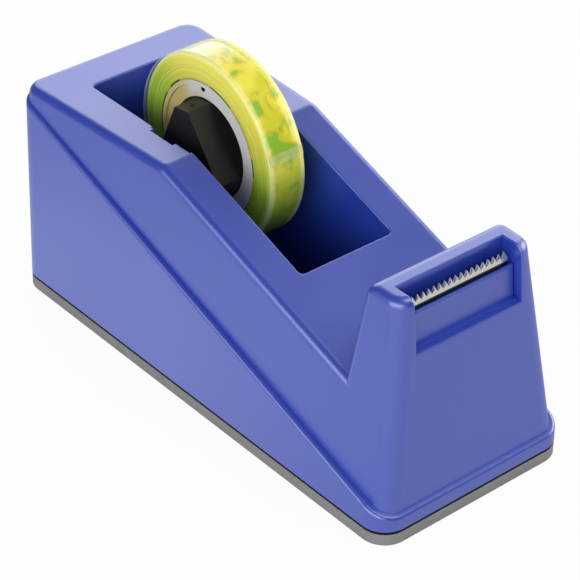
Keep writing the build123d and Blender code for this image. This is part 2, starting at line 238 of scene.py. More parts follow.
# Studio in metres: white paper floor, dim room and soft boxes. The paper's glow in reflections is a painted
# pool of light round the dispenser, so it shows less in reflections the further off it lies.
studioSet = {"floorSize": 6.0, "floorDrop": 0.0002, "floorColour": "#f2f2f0", "floorWash": 0.95,
             "poolCentre": (-0.055, 0, 0), "poolReach": (0.045, 0.14), "poolEdge": 0.62, "white": "#ffffff",
             "roomColour": "#eef0f4", "roomLight": 0.23, "roomSheen": 0.10}
softBoxes = [
    # name, direction from the object, distance, width, height, radiance
    ("backBox", (-0.69, 0.62, 0.38), 0.95, 1.00, 0.76, 2.2),
    ("slopeBox", (-0.10, 0.52, 0.85), 1.00, 0.90, 0.90, 0.10),
    ("topBox", (0.33, 0.22, 0.92), 1.10, 0.50, 0.50, 3.4),
    ("sideBox", (0.20, 0.93, 0.30), 1.10, 0.80, 0.66, 3.9),
    ("lowBox", (0.29, -0.87, 0.39), 1.00, 1.40, 0.62, 2.9),
]


def watchRays(tree):
    # 1 where this is seen straight or through clear film, and 1 where a glossy surface mirrors it
    path = addNode(tree, "ShaderNodeLightPath")
    direct = addNode(tree, "ShaderNodeMath", {"operation": "MAXIMUM"},
                     {0: path.outputs["Is Camera Ray"], 1: path.outputs["Is Transmission Ray"]})
    return direct.outputs[0], path.outputs["Is Glossy Ray"]


white = toLinear(studioSet["white"])
deselectAll()
bpy.ops.mesh.primitive_plane_add(size=studioSet["floorSize"], location=(0, 0, -studioSet["floorDrop"]))
floor = bpy.context.object
floor.name = "studioFloor"
floorPaper, tree, coords = newMaterial("whitePaperSweep")    # matt paper, overexposed but for the shadow
direct, mirrored = watchRays(tree)
seen = addNode(tree, "ShaderNodeMath", {"operation": "MAXIMUM"}, {0: direct, 1: mirrored}).outputs[0]
wash = addNode(tree, "ShaderNodeMath", {"operation": "MULTIPLY", 1: studioSet["floorWash"]},
               {0: seen}).outputs[0]
# painted pool of light: the paper's glow seen in reflections falls off away from this centre
away = addNode(tree, "ShaderNodeVectorMath", {"operation": "DISTANCE", 1: studioSet["poolCentre"]},
               {0: coords}).outputs["Value"]
nearest, farthest = studioSet["poolReach"]
tone = addNode(tree, "ShaderNodeMapRange",
               {**softStep, "From Min": nearest, "From Max": farthest, "To Min": 1.0,
                "To Max": studioSet["poolEdge"]}, {"Value": away}).outputs[0]
strength = addNode(tree, "ShaderNodeMath", {"operation": "MAXIMUM"}, {0: direct, 1: tone}).outputs[0]
paper = addNode(tree, "ShaderNodeBsdfDiffuse", {"Color": toLinear(studioSet["floorColour"])})
glow = addNode(tree, "ShaderNodeEmission", {"Color": white}, {"Strength": strength})
shader = addNode(tree, "ShaderNodeMixShader", None, {0: wash, 1: paper.outputs[0], 2: glow.outputs[0]})
dress(floorPaper, shader, floor)

room = bpy.data.worlds.new("dimRoom")
room.use_nodes = True
tree = room.node_tree
tree.nodes.clear()
direct, mirrored = watchRays(tree)
roomColour = toLinear(studioSet["roomColour"])
ambient = addNode(tree, "ShaderNodeBackground", {"Color": roomColour, "Strength": studioSet["roomLight"]})
sheen = addNode(tree, "ShaderNodeBackground", {"Color": roomColour, "Strength": studioSet["roomSheen"]})
backdrop = addNode(tree, "ShaderNodeBackground", {"Color": white, "Strength": 1.0})
unseen = addNode(tree, "ShaderNodeMixShader", None, {0: mirrored, 1: ambient.outputs[0], 2: sheen.outputs[0]})
whole = addNode(tree, "ShaderNodeMixShader", None, {0: direct, 1: unseen.outputs[0], 2: backdrop.outputs[0]})
addNode(tree, "ShaderNodeOutputWorld", None, {"Surface": whole.outputs[0]})
bpy.context.scene.world = room

for name, direction, distance, width, height, radiance in softBoxes:
    lamp = bpy.data.objects.new(name, bpy.data.lights.new(name, "AREA"))
    bpy.context.scene.collection.objects.link(lamp)
    toward = Vector(direction).normalized()
    lamp.location = Vector(cameraSet["aim"]) + toward * distance
    lamp.rotation_mode = "QUATERNION"
    lamp.rotation_quaternion = (-toward).to_track_quat("-Z", "Y")
    lamp.data.shape = "RECTANGLE"
    lamp.data.size, lamp.data.size_y = width, height
    lamp.data.energy = radiance * math.pi * width * height
print("studio lit")

# Shell and blade holder: ABS, moulded in a lightly spark-eroded tool. Deep ultramarine right through; the
# fine texture gives a satin, slightly bluish sheen that pales towards the light. It reflects more than plain
# ABS does, to make up for paper that is less bright than an overexposed background.
shellLook = {"colour": "#2645b8", "shade": "#223ead", "grain": 38.0, "detail": 3.0, "roughness": (0.32, 0.37),
             "index": 1.85, "mirror": 1.0, "sheen": "#e7ebff",
             "dust": "#8f9ad6", "dustSpacing": 15.0, "dustSize": 0.008}
shellAbs, tree, coords = newMaterial("mouldedAbsUltramarine")
drift, tint = grainTint(tree, coords, shellLook)
specks = addNode(tree, "ShaderNodeTexVoronoi", {"Scale": perMetre(shellLook["dustSpacing"])},
                 {"Vector": coords})
speck = addNode(tree, "ShaderNodeMath", {"operation": "LESS_THAN", 1: shellLook["dustSize"]},
                {0: specks.outputs["Distance"]}).outputs[0]
tint = addNode(tree, "ShaderNodeMix", {**colourMix, 7: toLinear(shellLook["dust"])},
               {0: speck, 6: tint}).outputs[2]
smoothest, roughest = shellLook["roughness"]
satin = addNode(tree, "ShaderNodeMapRange", {**noiseSpan, "To Min": smoothest, "To Max": roughest},
                {"Value": drift}).outputs[0]
shader = addNode(tree, "ShaderNodeBsdfPrincipled",
                 {"IOR": shellLook["index"], "Specular IOR Level": shellLook["mirror"],
                  "Specular Tint": toLinear(shellLook["sheen"])}, {"Base Color": tint, "Roughness": satin})
dress(shellAbs, shader, nodes["shell"], nodes["blade_holder"])

# Base plate: black polystyrene, seen only as a thin shadow line
plateLook = {"colour": "#101113", "shade": "#090a0b", "grain": 1.2, "detail": 3.0,
             "roughness": 0.7, "mirror": 0.15}
blackStyrene, tree, coords = newMaterial("mouldedPolystyreneBlack")
tint = grainTint(tree, coords, plateLook)[1]
shader = addNode(tree, "ShaderNodeBsdfPrincipled",
                 {"Roughness": plateLook["roughness"], "Specular IOR Level": plateLook["mirror"]},
                 {"Base Color": tint})
dress(blackStyrene, shader, nodes["base_plate"])

# Hub and axle: black ABS with a matt, brownish bloom where light grazes it
hubLook = {"colour": "#25231f", "shade": "#181713", "grain": 0.5, "detail": 3.0, "roughness": (0.40, 0.52),
           "index": 1.53, "relief": 0.3, "reliefDepth": 0.02}
blackAbs, tree, coords = newMaterial("mouldedAbsBlack")
grain, tint = grainTint(tree, coords, hubLook)
smoothest, roughest = hubLook["roughness"]
satin = addNode(tree, "ShaderNodeMapRange", {**noiseSpan, "To Min": smoothest, "To Max": roughest},
                {"Value": grain}).outputs[0]
relief = addNode(tree, "ShaderNodeBump",
                 {"Strength": hubLook["relief"], "Distance": hubLook["reliefDepth"] * mm}, {"Height": grain})
shader = addNode(tree, "ShaderNodeBsdfPrincipled", {"IOR": hubLook["index"]},
                 {"Base Color": tint, "Roughness": satin, "Normal": relief.outputs[0]})
dress(blackAbs, shader, nodes["hub"], nodes["axle"])

# The roll's axis, for everything that is laid out round it
low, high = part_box("tape_core")
axleX, axleZ = (low.x + high.x) / 2, (low.z + high.z) / 2
rollNear, rollFar = low.y / mm, high.y / mm


def rollCoords(tree, coords):
    # place from the roll's axis, angle round it from +X towards +Z, distance from it and place along it
    centred = addNode(tree, "ShaderNodeMapping", {"Location": (-axleX, 0, -axleZ)},
                      {"Vector": coords}).outputs[0]
    part = addNode(tree, "ShaderNodeSeparateXYZ", None, {"Vector": centred})
    angle = addNode(tree, "ShaderNodeMath", {"operation": "ARCTAN2"},
                    {0: part.outputs["Z"], 1: part.outputs["X"]}).outputs[0]
    flat = addNode(tree, "ShaderNodeCombineXYZ", None, {"X": part.outputs["X"], "Y": part.outputs["Z"]})
    radius = addNode(tree, "ShaderNodeVectorMath", {"operation": "LENGTH"},
                     {0: flat.outputs[0]}).outputs["Value"]
    return centred, angle, radius, part.outputs["Y"]


def rollPoint(reach, angle, along):
    # a point in metres, from its distance to the roll's axis, its angle and its place along the axis
    return (axleX + reach * mm * math.cos(angle), along * mm, axleZ + reach * mm * math.sin(angle))


# Tape core: injection moulded polypropylene, off-white and slightly cloudy, with painted cream light on one
# side where light comes through the yellow tape. Its small hole is darkened with painted shade.
coreLook = {"colour": "#dad9d6", "cream": "#d8c67c", "paintedTapeLightAngle": 160.0, "paintedTapeLight": (0.18, 0.42),
            "paintedTapeLightMost": 0.95, "patch": 5.0, "patchDetail": 1.5,
            "paintedHoleShade": "#15130f", "holeReach": 15.6, "holeAngle": 98.0, "paintedHoleShadeEdge": (0.76, 0.71),
            "roughness": 0.30, "index": 1.49,
            "cloud": 0.15, "cloudRadius": (1.0, 0.9, 0.7), "cloudDepth": 1.2}
corePoly, tree, coords = newMaterial("mouldedPolypropyleneWhite")
centred, angle = rollCoords(tree, coords)[:2]
# painted light: cream on the side that light through the yellow tape falls on
turned = addNode(tree, "ShaderNodeMath", {"operation": "SUBTRACT", 1: math.radians(coreLook["paintedTapeLightAngle"])},
                 {0: angle}).outputs[0]
side = addNode(tree, "ShaderNodeMath", {"operation": "COSINE"}, {0: turned}).outputs[0]
patch = addNode(tree, "ShaderNodeTexNoise",
                {"Scale": perMetre(coreLook["patch"]), "Detail": coreLook["patchDetail"]},
                {"Vector": coords}).outputs[0]
patch = addNode(tree, "ShaderNodeMath", {"operation": "MULTIPLY"}, {0: side, 1: patch}).outputs[0]
faint, full = coreLook["paintedTapeLight"]
paintedTapeLight = addNode(tree, "ShaderNodeMapRange",
                {**softStep, "From Min": faint, "From Max": full, "To Max": coreLook["paintedTapeLightMost"]},
                {"Value": patch}).outputs[0]
tint = addNode(tree, "ShaderNodeMix",
               {**colourMix, 6: toLinear(coreLook["colour"]), 7: toLinear(coreLook["cream"])},
               {0: paintedTapeLight}).outputs[2]
# painted shade: the small hole is darkened inside, standing for its shadow
holeAngle = math.radians(coreLook["holeAngle"])
holePlace = Vector((math.cos(holeAngle), 0, math.sin(holeAngle))) * coreLook["holeReach"] * mm
fromHole = addNode(tree, "ShaderNodeVectorMath", {"operation": "SUBTRACT", 1: holePlace},
                   {0: centred}).outputs[0]
fromHole = addNode(tree, "ShaderNodeVectorMath", {"operation": "MULTIPLY", 1: (1, 0, 1)},
                   {0: fromHole}).outputs[0]
holeGap = addNode(tree, "ShaderNodeVectorMath", {"operation": "LENGTH"}, {0: fromHole}).outputs["Value"]
shadeStarts, shadeFull = coreLook["paintedHoleShadeEdge"]
tint = layOver(tree, tint, coreLook["paintedHoleShade"], holeGap, shadeStarts * mm, shadeFull * mm)
shader = addNode(tree, "ShaderNodeBsdfPrincipled",
                 {"Roughness": coreLook["roughness"], "IOR": coreLook["index"],
                  "Subsurface Weight": coreLook["cloud"], "Subsurface Radius": coreLook["cloudRadius"],
                  "Subsurface Scale": coreLook["cloudDepth"] * mm}, {"Base Color": tint})
dress(corePoly, shader, nodes["tape_core"])

# Ballast: sand-cast iron, coloured near black, dull and dark at the bottom of the well
ironLook = {"colour": "#121213", "shade": "#08080a", "grain": 1.6, "detail": 5.0, "roughness": 0.65,
            "mirror": 0.3, "relief": 0.6, "reliefDepth": 0.2}
castIron, tree, coords = newMaterial("nearBlackCastIron")
grain, tint = grainTint(tree, coords, ironLook)
relief = addNode(tree, "ShaderNodeBump",
                 {"Strength": ironLook["relief"], "Distance": ironLook["reliefDepth"] * mm},
                 {"Height": grain})
shader = addNode(tree, "ShaderNodeBsdfPrincipled",
                 {"Roughness": ironLook["roughness"], "Specular IOR Level": ironLook["mirror"]},
                 {"Base Color": tint, "Normal": relief.outputs[0]})
dress(castIron, shader, nodes["ballast_front"], nodes["ballast_rear"])

# Screws: zinc-plated steel, pale grey and lightly clouded
zincLook = {"colour": "#c4c6c8", "shade": "#a9abae", "grain": 0.8, "detail": 3.0, "roughness": 0.35}
zincSteel, tree, coords = newMaterial("zincPlatedSteel")
tint = grainTint(tree, coords, zincLook)[1]
shader = addNode(tree, "ShaderNodeBsdfPrincipled", {"Metallic": 1.0, "Roughness": zincLook["roughness"]},
                 {"Base Color": tint})
dress(zincSteel, shader, nodes["base_screws"])
print("moulded and metal finishes on the frame")

# Foam pad: die-cut closed-cell EVA, soft grey with fine open cells on its cut edge
low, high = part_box("foam_pad")
foamSet = {"corner": 6.5, "cornerSteps": 14, "softEdge": 0.35, "edgeSteps": 3, "smooth": 35,
           "colour": "#838382", "pale": "#8f8f8e", "cell": 0.55, "cloud": 6.0, "mottle": (0.4, 1.3),
           "relief": 0.5, "reliefDepth": 0.08, "roughness": 0.9, "mirror": 0.25}
deselectAll()
bpy.ops.mesh.primitive_cube_add(size=1, location=(low + high) / 2, scale=high - low)
foam = bpy.context.object
foam.name = "foamPad"
settle()
pickEdges(foam, lambda a, b: abs(a.x - b.x) < slack and abs(a.y - b.y) < slack)
bpy.ops.mesh.bevel(offset=foamSet["corner"] * mm, segments=foamSet["cornerSteps"])
bpy.ops.object.mode_set(mode="OBJECT")
pickEdges(foam, lambda a, b: abs(a.z - b.z) < slack)
bpy.ops.mesh.bevel(offset=foamSet["softEdge"] * mm, segments=foamSet["edgeSteps"])
bpy.ops.object.mode_set(mode="OBJECT")
smoothBy(foam, foamSet["smooth"])
evaFoam, tree, coords = newMaterial("closedCellEvaFoam")
cells = addNode(tree, "ShaderNodeTexVoronoi", {"Scale": perMetre(foamSet["cell"])},
                {"Vector": coords}).outputs["Distance"]
cloud = addNode(tree, "ShaderNodeTexNoise", {"Scale": perMetre(foamSet["cloud"])},
                {"Vector": coords}).outputs[0]
tone = addNode(tree, "ShaderNodeMath", {"operation": "ADD"}, {0: cells, 1: cloud}).outputs[0]
dark, light = foamSet["mottle"]
tone = addNode(tree, "ShaderNodeMapRange", {**softStep, "From Min": dark, "From Max": light},
               {"Value": tone}).outputs[0]
tint = addNode(tree, "ShaderNodeMix",
               {**colourMix, 6: toLinear(foamSet["colour"]), 7: toLinear(foamSet["pale"])},
               {0: tone}).outputs[2]
relief = addNode(tree, "ShaderNodeBump",
                 {"Strength": foamSet["relief"], "Distance": foamSet["reliefDepth"] * mm}, {"Height": cells})
shader = addNode(tree, "ShaderNodeBsdfPrincipled",
                 {"Roughness": foamSet["roughness"], "Specular IOR Level": foamSet["mirror"]},
                 {"Base Color": tint, "Normal": relief.outputs[0]})
dress(evaFoam, shader, foam)
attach(foam, "housing")
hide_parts("foam_pad")
print("foam pad cut")

# Cutter blade: spring steel, its teeth and a strip below them ground bright; lower down a painted dark
# reflection
low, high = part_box("cutter_blade")
bladeSet = {"width": 29.4, "height": 10.0, "thickness": 0.5, "teeth": 18, "toothHeight": 1.5, "lean": 6.0,
            "tipWidth": 0.10, "tipDepth": 0.20, "ridge": 0.08, "groundStrip": 0.75,
            "groundFade": (-0.25, 0.15), "bright": "#f6f4f1", "brightShade": "#e6e3de", "paintedDarkReflection": "#2b2d33",
            "paintedDarkReflectionShade": "#191a1e", "brushing": (0.3, 0.08, 2.5), "polish": (0.14, 0.26)}
pitch = bladeSet["width"] / bladeSet["teeth"]
rootHeight = bladeSet["height"] - bladeSet["toothHeight"]
firstTooth = (pitch - bladeSet["width"]) / 2
deselectAll()
bpy.ops.mesh.primitive_cube_add(
    size=1, location=(-bladeSet["thickness"] / 2 * mm, firstTooth * mm, rootHeight / 2 * mm),
    scale=(bladeSet["thickness"] * mm, pitch * mm, rootHeight * mm))
blade = bpy.context.object
blade.name = "cutterBlade"
settle()
pickFaces(blade, lambda centre, normal: normal.z > 0.9)    # top face grows into one tooth
bpy.ops.mesh.extrude_region_move(TRANSFORM_OT_translate={"value": (0, 0, bladeSet["toothHeight"] * mm)})
tip = (-bladeSet["thickness"] * mm, firstTooth * mm, bladeSet["height"] * mm)
taper = (bladeSet["tipDepth"] / bladeSet["thickness"], bladeSet["tipWidth"] / pitch, 1)
bpy.ops.transform.resize(value=taper, center_override=tip)
bpy.ops.object.mode_set(mode="OBJECT")
pickFaces(blade, lambda centre, normal: abs(normal.y) > 0.9)
bpy.ops.mesh.delete(type="FACE")
bpy.ops.object.mode_set(mode="OBJECT")
pickFaces(blade, lambda centre, normal: normal.x > 0.5 and centre.z > rootHeight * mm)
bpy.ops.mesh.poke(offset=bladeSet["ridge"] * mm)    # ground facets on the front of the tooth
bpy.ops.object.mode_set(mode="OBJECT")
applyModifier(blade, "ARRAY", count=bladeSet["teeth"], use_relative_offset=False, use_constant_offset=True,
              constant_offset_displace=(0, pitch * mm, 0), use_merge_vertices=True, merge_threshold=weld)
for end in (-1, 1):
    pickEdges(blade, lambda a, b: min(end * a.y, end * b.y) > bladeSet["width"] / 2 * mm - slack)
    bpy.ops.mesh.edge_face_add()
    bpy.ops.object.mode_set(mode="OBJECT")
bpy.ops.object.mode_set(mode="EDIT")
closeSeams()
blade.rotation_euler = (0, -math.radians(bladeSet["lean"]), 0)
settle()
places = [v.co for v in blade.data.vertices]
blade.location = (low.x - min(p.x for p in places), 0, low.z - min(p.z for p in places))
settle()
springSteel, tree, coords = newMaterial("springSteelPaintedDark")
brushing = addNode(tree, "ShaderNodeMapping", {"Scale": [perMetre(size) for size in bladeSet["brushing"]]},
                   {"Vector": coords})
lines = addNode(tree, "ShaderNodeTexNoise", {"Scale": 1.0}, {"Vector": brushing.outputs[0]}).outputs[0]
upright = addNode(tree, "ShaderNodeSeparateXYZ", None, {"Vector": coords}).outputs["Z"]
groundFrom = high.z - (bladeSet["toothHeight"] + bladeSet["groundStrip"]) * mm
below, above = bladeSet["groundFade"]
ground = addNode(tree, "ShaderNodeMapRange",
                 {**softStep, "From Min": groundFrom + below * mm, "From Max": groundFrom + above * mm},
                 {"Value": upright}).outputs[0]
bright = addNode(tree, "ShaderNodeMix",
                 {**colourMix, 6: toLinear(bladeSet["brightShade"]), 7: toLinear(bladeSet["bright"])},
                 {0: lines}).outputs[2]
# painted dark reflection: the strip below the bright teeth is coloured dark
paintedDarkReflection = addNode(tree, "ShaderNodeMix",
                {**colourMix, 6: toLinear(bladeSet["paintedDarkReflectionShade"]), 7: toLinear(bladeSet["paintedDarkReflection"])},
                {0: lines}).outputs[2]
tint = addNode(tree, "ShaderNodeMix", colourMix, {0: ground, 6: paintedDarkReflection, 7: bright}).outputs[2]
smoothest, roughest = bladeSet["polish"]
polish = addNode(tree, "ShaderNodeMapRange", {**noiseSpan, "To Min": smoothest, "To Max": roughest},
                 {"Value": lines}).outputs[0]
shader = addNode(tree, "ShaderNodeBsdfPrincipled", {"Metallic": 1.0},
                 {"Base Color": tint, "Roughness": polish})
dress(springSteel, shader, blade)
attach(blade, "housing")
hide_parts("cutter_blade")
print("blade ground")

# Wound tape: printed polypropylene film, its layers bonded to a cloudy ring with a paler rounded edge
tapeSet = {
    # shape
    "bore": 17.62, "radius": 24.75, "layers": 44, "ridge": 0.06, "seed": 7, "steps": 192, "smooth": 40,
    "shoulder": 1.1, "shoulderSteps": 14, "uneven": 0.03, "treadSteps": 5,
    "farEdge": 0.35, "farSteps": 6, "farLines": 6, "farPitch": 0.33, "farDepth": 0.07, "farRise": 0.25,
    # colours
    "green": "#a4cf2c", "yellow": "#ffef60", "lime": "#dbe03a", "pale": "#fbf7d0", "motif": "#84c93e",
    "amber": "#f0d22e", "olive": "#c3c21e", "paintedGapShade": "#2f7d1d",
    # rings on the face, and painted light round it
    "swirl": 7.0, "swirlDetail": 1.0, "wander": 1.2, "ringPitch": 0.30, "ringDetail": 3.0, "ringShare": 0.5,
    "paintedLightAngle": 75.0, "paintedLightSpan": (0.3, 1.25), "deepRing": (0.42, 0.30, 0.5),
    "paleRing": (0.56, 0.74, 0.35),
    # print on the tread, with painted shade low down and a painted highlight at the top
    "cloud": 9.0, "cloudDetail": 1.0, "cloudSpan": (0.35, 0.65),
    "blot": 6.5, "blotDetail": 4.0, "blotRoughness": 0.55, "blotTwist": 0.3,
    "amberBlot": (0.42, 0.56, 0.6), "leafBlot": (0.50, 0.62, 0.8), "paintedLowShade": (0.75, -0.1, 0.7),
    "paintedTopHighlight": (82, 108, 0.65), "treadInwards": (0.5, 0.1),
    # milky edges
    "nearAlong": (1.7, 0.5), "nearInwards": (1.4, 0.5), "farAlong": (2.2, 0.2),
    "turnPitch": 0.25, "turnDetail": 2.0, "turnSpan": (0.40, 0.60), "turnMilk": (0.15, 0.75),
    # painted shade in the gaps by the core
    "byCore": (0.55, 0.4), "sliver": 7.0, "sliverDetail": 0.0, "sliverSpan": (0.50, 0.54),
    # film
    "crease": 1.3, "relief": 0.25, "reliefDepth": 0.03, "roughness": 0.30, "mirror": 0.2,
    "depth": 4.0, "depthRadius": (1.0, 0.92, 0.2), "gloss": 0.75, "glossRoughness": 0.16,
}
layerDraw = random.Random(tapeSet["seed"])
nearFace = []
farFace = []
for i in range(tapeSet["layers"] + 1):          # faces, from the core outwards
    reach = (tapeSet["radius"] - tapeSet["shoulder"] - tapeSet["bore"]) * i / tapeSet["layers"]
    nearFace.append((tapeSet["bore"] + reach, rollNear + tapeSet["ridge"] * layerDraw.random()))
    reach = (tapeSet["radius"] - tapeSet["farEdge"] - tapeSet["bore"]) * i / tapeSet["layers"]
    farFace.append((tapeSet["bore"] + reach, rollFar - tapeSet["ridge"] * layerDraw.random()))
shoulder = []
for i in range(1, tapeSet["shoulderSteps"] + 1):    # rounded near edge, where layers end a little unevenly
    a = math.pi / 2 * i / tapeSet["shoulderSteps"]
    reach = tapeSet["shoulder"] * (1 - tapeSet["uneven"] * layerDraw.random())
    shoulder.append((tapeSet["radius"] - tapeSet["shoulder"] + reach * math.sin(a),
                     rollNear + tapeSet["shoulder"] - reach * math.cos(a)))
treadStart = rollNear + tapeSet["shoulder"]
treadEnd = rollFar - tapeSet["farEdge"] - tapeSet["farLines"] * tapeSet["farPitch"]
tread = [(tapeSet["radius"], treadStart + (treadEnd - treadStart) * i / tapeSet["treadSteps"])
         for i in range(1, tapeSet["treadSteps"] + 1)]
for i in range(tapeSet["farLines"]):            # edges of the last turns, stepped along the far side
    y = treadEnd + tapeSet["farPitch"] * (i + 1 - tapeSet["farRise"])
    tread.append((tapeSet["radius"] - tapeSet["farDepth"], y))
    tread.append((tapeSet["radius"], y + tapeSet["farRise"] * tapeSet["farPitch"]))
for i in range(1, tapeSet["farSteps"] + 1):     # small far edge
    a = math.pi / 2 * i / tapeSet["farSteps"]
    tread.append((tapeSet["radius"] - tapeSet["farEdge"] * (1 - math.cos(a)),
                  rollFar - tapeSet["farEdge"] * (1 - math.sin(a))))
section = nearFace + shoulder + tread + farFace[::-1] + nearFace[:1]
winding = drawLine("tapeWinding", [(axleX + r * mm, y * mm, axleZ) for r, y in section])
spinClosed((axleX, 0, axleZ), (0, 1, 0), tapeSet["steps"])
smoothBy(winding, tapeSet["smooth"])

# colours of its face: rings of film, not quite circles; painted light makes it yellow at the top, green lower
# down
tapeFilm, tree, coords = newMaterial("woundPolypropyleneFilm")
centred, angle, radius, along = rollCoords(tree, coords)
swirl = addNode(tree, "ShaderNodeTexNoise",
                {"Scale": perMetre(tapeSet["swirl"]), "Detail": tapeSet["swirlDetail"]},
                {"Vector": centred}).outputs[0]
wander = addNode(tree, "ShaderNodeMath", {"operation": "MULTIPLY", 1: tapeSet["wander"] * mm},
                 {0: swirl}).outputs[0]
layer = addNode(tree, "ShaderNodeMath", {"operation": "ADD"}, {0: radius, 1: wander}).outputs[0]
rings = addNode(tree, "ShaderNodeTexNoise",
                {"noise_dimensions": "1D", "Scale": perMetre(tapeSet["ringPitch"]),
                 "Detail": tapeSet["ringDetail"]}, {"W": layer}).outputs[0]
# painted light: brightest yellow round this angle at the top, painted shade turning it green away from it
turned = addNode(tree, "ShaderNodeMath", {"operation": "SUBTRACT", 1: math.radians(tapeSet["paintedLightAngle"])},
                 {0: angle}).outputs[0]
paintedTopLight = addNode(tree, "ShaderNodeMath", {"operation": "COSINE"}, {0: turned}).outputs[0]
faceTone = addNode(tree, "ShaderNodeMath", {"operation": "MULTIPLY_ADD", 1: tapeSet["ringShare"]},
                   {0: rings, 2: paintedTopLight}).outputs[0]
start, end = tapeSet["paintedLightSpan"]
faceTone = addNode(tree, "ShaderNodeMapRange", {**softStep, "From Min": start, "From Max": end},
                   {"Value": faceTone}).outputs[0]
faceHue = addNode(tree, "ShaderNodeMix",
                  {**colourMix, 6: toLinear(tapeSet["green"]), 7: toLinear(tapeSet["yellow"])},
                  {0: faceTone}).outputs[2]
faceHue = layOver(tree, faceHue, tapeSet["olive"], rings, *tapeSet["deepRing"])
faceHue = layOver(tree, faceHue, tapeSet["pale"], rings, *tapeSet["paleRing"])

# print on the outside of the film: yellow clouds with ragged amber and leaf green blots, with painted shade
# making it greener low down and a painted highlight making it pale at the top
cloud = addNode(tree, "ShaderNodeTexNoise",
                {"Scale": perMetre(tapeSet["cloud"]), "Detail": tapeSet["cloudDetail"]},
                {"Vector": centred}).outputs[0]
start, end = tapeSet["cloudSpan"]
cloud = addNode(tree, "ShaderNodeMapRange", {**softStep, "From Min": start, "From Max": end},
                {"Value": cloud}).outputs[0]
treadHue = addNode(tree, "ShaderNodeMix",
                   {**colourMix, 6: toLinear(tapeSet["lime"]), 7: toLinear(tapeSet["yellow"])},
                   {0: cloud}).outputs[2]
blots = addNode(tree, "ShaderNodeTexNoise",
                {"Scale": perMetre(tapeSet["blot"]), "Detail": tapeSet["blotDetail"],
                 "Roughness": tapeSet["blotRoughness"], "Distortion": tapeSet["blotTwist"]},
                {"Vector": centred}).outputs[0]
treadHue = layOver(tree, treadHue, tapeSet["amber"], blots, *tapeSet["amberBlot"])
treadHue = layOver(tree, treadHue, tapeSet["motif"], blots, *tapeSet["leafBlot"])
# painted shade: the tread turns green away from the top light
treadHue = layOver(tree, treadHue, tapeSet["green"], paintedTopLight, *tapeSet["paintedLowShade"])
# painted highlight: the tread is made pale at the top and round the back
start, end, most = tapeSet["paintedTopHighlight"]
treadHue = layOver(tree, treadHue, tapeSet["pale"], angle, math.radians(start), math.radians(end), most)
start, end = tapeSet["treadInwards"]
onTread = addNode(tree, "ShaderNodeMapRange",
                  {**softStep, "From Min": (tapeSet["radius"] - start) * mm,
                   "From Max": (tapeSet["radius"] - end) * mm}, {"Value": radius}).outputs[0]
hue = addNode(tree, "ShaderNodeMix", colourMix, {0: onTread, 6: faceHue, 7: treadHue}).outputs[2]

# milky where the layers end, on the near shoulder and the far edge of the tread, each turn a little in or out
# of line
start, end = tapeSet["nearAlong"]
nearRim = addNode(tree, "ShaderNodeMapRange",
                  {**softStep, "From Min": (rollNear + start) * mm, "From Max": (rollNear + end) * mm},
                  {"Value": along}).outputs[0]
start, end = tapeSet["nearInwards"]
outside = addNode(tree, "ShaderNodeMapRange",
                  {**softStep, "From Min": (tapeSet["radius"] - start) * mm,
                   "From Max": (tapeSet["radius"] - end) * mm}, {"Value": radius}).outputs[0]
nearRim = addNode(tree, "ShaderNodeMath", {"operation": "MULTIPLY"}, {0: nearRim, 1: outside}).outputs[0]
start, end = tapeSet["farAlong"]
farRim = addNode(tree, "ShaderNodeMapRange",
                 {**softStep, "From Min": (rollFar - start) * mm, "From Max": (rollFar - end) * mm},
                 {"Value": along}).outputs[0]
farRim = addNode(tree, "ShaderNodeMath", {"operation": "MULTIPLY"}, {0: farRim, 1: onTread}).outputs[0]
milky = addNode(tree, "ShaderNodeMath", {"operation": "MAXIMUM"}, {0: nearRim, 1: farRim}).outputs[0]
edges = addNode(tree, "ShaderNodeTexNoise",
                {"noise_dimensions": "1D", "Scale": perMetre(tapeSet["turnPitch"]),
                 "Detail": tapeSet["turnDetail"]}, {"W": along}).outputs[0]
start, end = tapeSet["turnSpan"]
least, most = tapeSet["turnMilk"]
edges = addNode(tree, "ShaderNodeMapRange",
                {**softStep, "From Min": start, "From Max": end, "To Min": least, "To Max": most},
                {"Value": edges}).outputs[0]
milky = addNode(tree, "ShaderNodeMath", {"operation": "MULTIPLY"}, {0: milky, 1: edges}).outputs[0]
hue = addNode(tree, "ShaderNodeMix", {**colourMix, 7: toLinear(tapeSet["pale"])},
              {0: milky, 6: hue}).outputs[2]

# dark green slivers next to the core are painted shade in the gaps between core and tape; light sinks into
# the bonded film, and its gloss is lightly wrinkled
start, end = tapeSet["byCore"]
byCore = addNode(tree, "ShaderNodeMapRange",
                 {**softStep, "From Min": (tapeSet["bore"] + start) * mm,
                  "From Max": (tapeSet["bore"] + end) * mm}, {"Value": radius}).outputs[0]
sliver = addNode(tree, "ShaderNodeTexNoise",
                 {"Scale": perMetre(tapeSet["sliver"]), "Detail": tapeSet["sliverDetail"]},
                 {"Vector": centred}).outputs[0]
start, end = tapeSet["sliverSpan"]
sliver = addNode(tree, "ShaderNodeMapRange", {**softStep, "From Min": start, "From Max": end},
                 {"Value": sliver}).outputs[0]
paintedGapShadeMask = addNode(tree, "ShaderNodeMath", {"operation": "MULTIPLY"}, {0: byCore, 1: sliver}).outputs[0]
hue = addNode(tree, "ShaderNodeMix", {**colourMix, 7: toLinear(tapeSet["paintedGapShade"])},
              {0: paintedGapShadeMask, 6: hue}).outputs[2]
creases = addNode(tree, "ShaderNodeTexNoise", {"Scale": perMetre(tapeSet["crease"])},
                  {"Vector": centred}).outputs[0]
wrinkle = addNode(tree, "ShaderNodeBump",
                  {"Strength": tapeSet["relief"], "Distance": tapeSet["reliefDepth"] * mm},
                  {"Height": creases})
